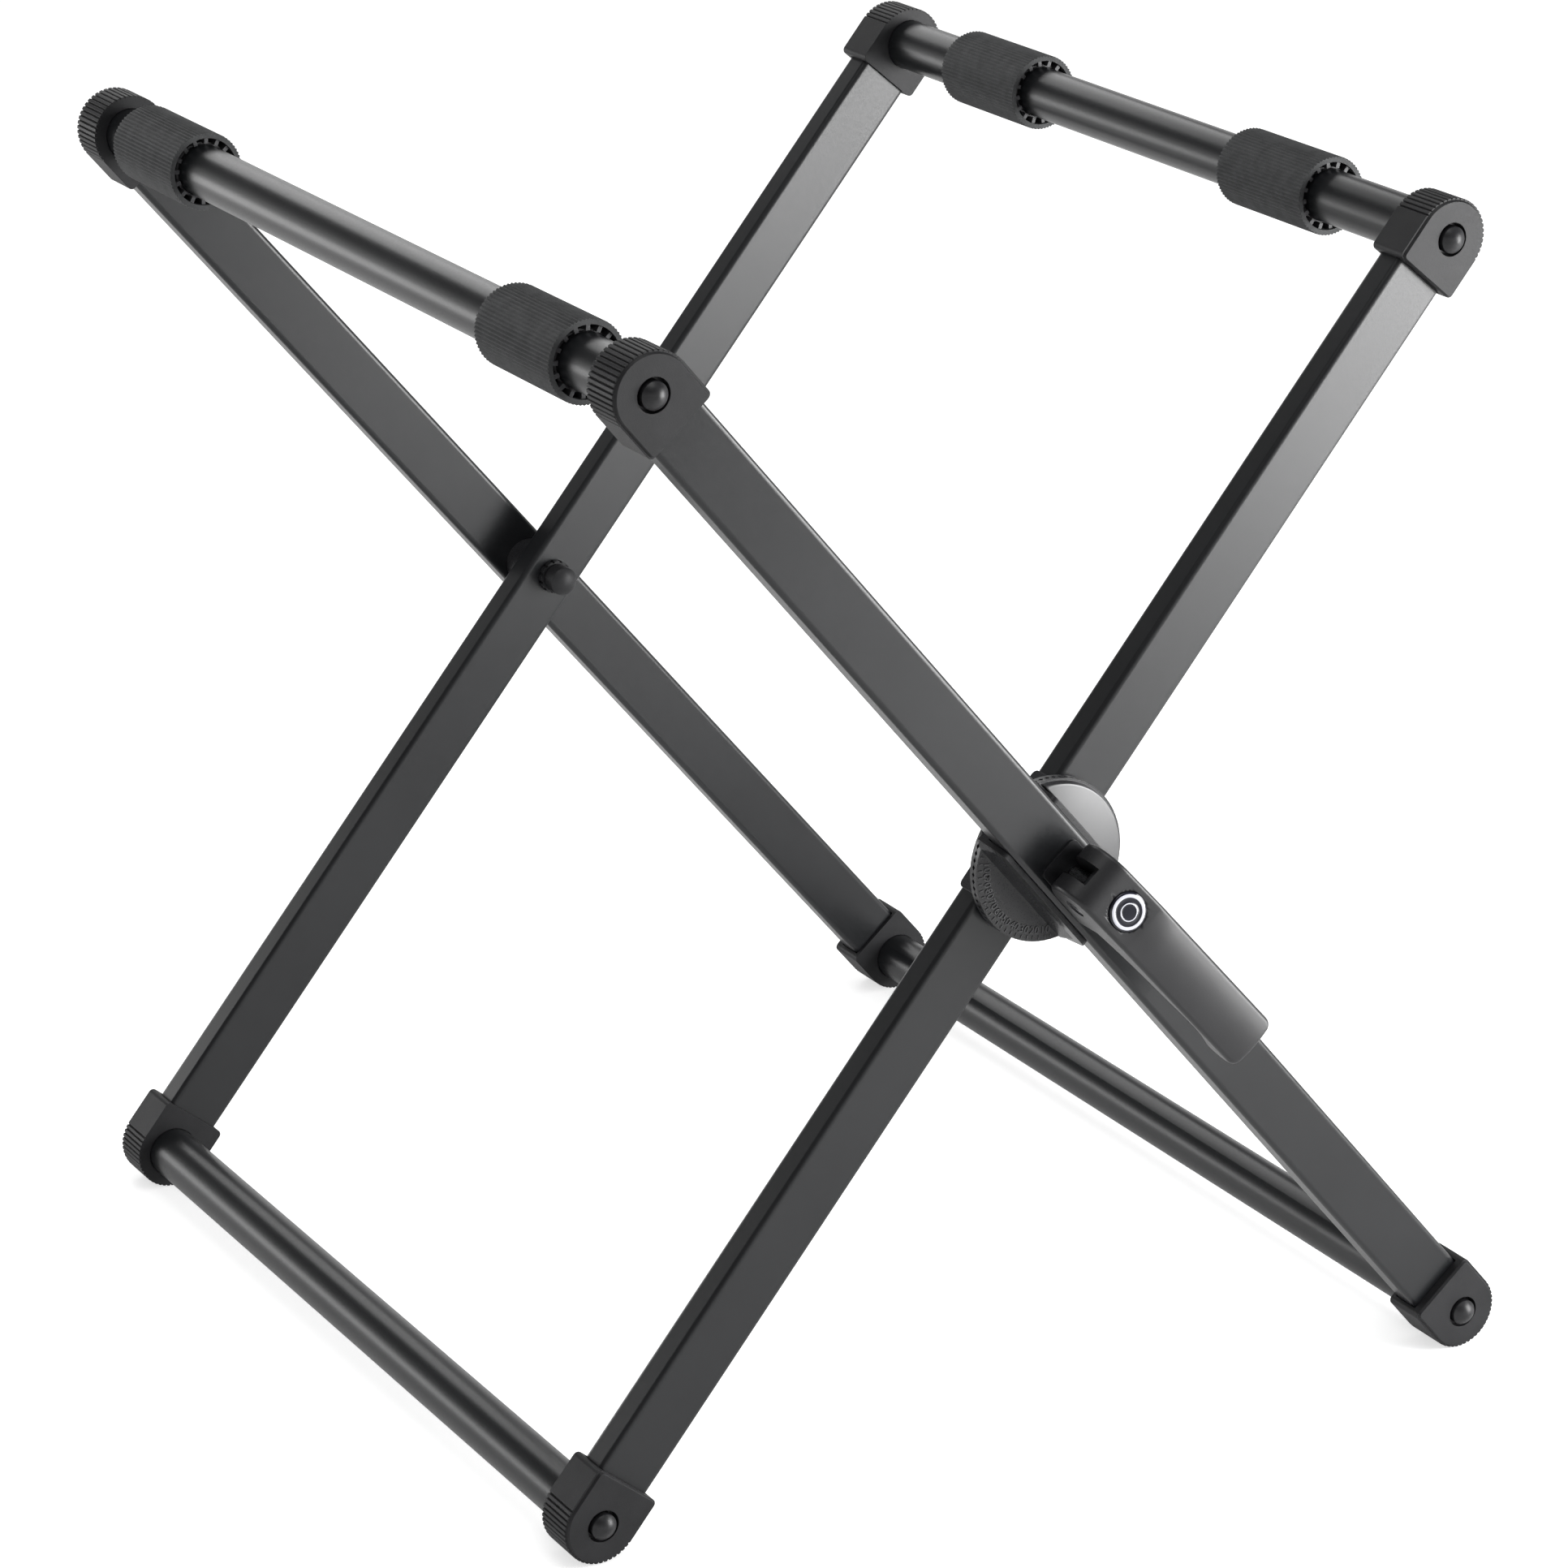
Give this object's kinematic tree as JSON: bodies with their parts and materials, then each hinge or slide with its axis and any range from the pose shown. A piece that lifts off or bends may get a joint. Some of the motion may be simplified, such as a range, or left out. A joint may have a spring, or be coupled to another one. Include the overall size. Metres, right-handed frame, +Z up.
{
  "type": "marching drum stand",
  "caption": "Folding X-frame drum stand with crossed square-tube legs, ribbed slide-on rubber rests, boots and a toothed hinge locked by a cam lever.",
  "frame": {"origin": "centre of the bounding box at floor level, under the pivot in X", "axes": "+X across the stand from the inner frame's feet to the outer frame's feet, +Y from the cam lever to the back along the pivot and bars, +Z up"},
  "size_m": [0.4938, 0.5805, 0.5633],
  "materials": {
    "tube_paint": "satin black powder coat",
    "cap_plastic": "fine textured black moulding",
    "hinge_plastic": "satin black moulding",
    "lever_plastic": "matte black moulding",
    "core_plastic": "matte black moulding",
    "rest_rubber": "matte black rubber, finely ribbed",
    "black_bolt": "black oxide, slightly glossy",
    "chrome_pin": "polished",
    "bright_steel": "zinc plated",
    "plug_steel": "plain turned steel",
    "badge_face": "glossy dark disc, bare"
  },
  "bodies": {
    "outer_frame": {"outer_leg_front": "tube_paint", "outer_leg_rear": "tube_paint", "outer_bar_top": "tube_paint", "outer_bar_foot": "tube_paint", "outer_cap_top_front": "cap_plastic", "outer_cap_top_rear": "cap_plastic", "outer_cap_foot_front": "cap_plastic", "outer_cap_foot_rear": "cap_plastic", "outer_corner_bolts": "black_bolt", "outer_bar_plugs": "plug_steel", "outer_hinge_plate": "hinge_plastic", "release_springs": "plug_steel", "clamp_bolt": "bright_steel", "clamp_washer": "bright_steel", "cam_plate": "black_bolt", "barrel_pin": "chrome_pin", "rear_pivot_bolt": "black_bolt", "rear_spacer": "hinge_plastic", "rear_washer": "bright_steel", "rear_nut": "bright_steel", "rear_nut_cover": "cap_plastic"},
    "inner_frame": {"inner_leg_front": "tube_paint", "inner_leg_rear": "tube_paint", "inner_bar_top": "tube_paint", "inner_bar_foot": "tube_paint", "inner_cap_top_front": "cap_plastic", "inner_cap_top_rear": "cap_plastic", "inner_cap_foot_front": "cap_plastic", "inner_cap_foot_rear": "cap_plastic", "inner_corner_bolts": "black_bolt", "inner_bar_plugs": "plug_steel", "inner_hinge_plate": "hinge_plastic"},
    "clamp_lever": {"clamp_lever": "lever_plastic", "lever_badge": "badge_face"},
    "outer_rest_front": {"outer_rest_front_core": "core_plastic", "outer_rest_front_sleeve": "rest_rubber"},
    "outer_rest_rear": {"outer_rest_rear_core": "core_plastic", "outer_rest_rear_sleeve": "rest_rubber"},
    "inner_rest_front": {"inner_rest_front_core": "core_plastic", "inner_rest_front_sleeve": "rest_rubber"},
    "inner_rest_rear": {"inner_rest_rear_core": "core_plastic", "inner_rest_rear_sleeve": "rest_rubber"}
  },
  "joints": [
    {"name": "frame_fold", "type": "hinge", "parent": "outer_frame", "child": "inner_frame", "pos_m": [0, 0.01835, 0.29067], "axis": [0, -1, 0], "range_deg": [-30, 72]},
    {"name": "lever_swing", "type": "hinge", "parent": "outer_frame", "child": "clamp_lever", "pos_m": [0, -0.26025, 0.29067], "axis": [-0.766, 0, -0.6428], "range_deg": [0, 100]},
    {"name": "outer_rest_front_slide", "type": "slide", "parent": "outer_frame", "child": "outer_rest_front", "axis": [0, 1, 0], "range_m": [-0.033, 0.145]},
    {"name": "outer_rest_rear_slide", "type": "slide", "parent": "outer_frame", "child": "outer_rest_rear", "axis": [0, 1, 0], "range_m": [-0.158, 0.02]},
    {"name": "inner_rest_front_slide", "type": "slide", "parent": "inner_frame", "child": "inner_rest_front", "axis": [0, 1, 0], "range_m": [-0.068, 0.082]},
    {"name": "inner_rest_rear_slide", "type": "slide", "parent": "inner_frame", "child": "inner_rest_rear", "axis": [0, 1, 0], "range_m": [-0.09, 0.06]}
  ]
}
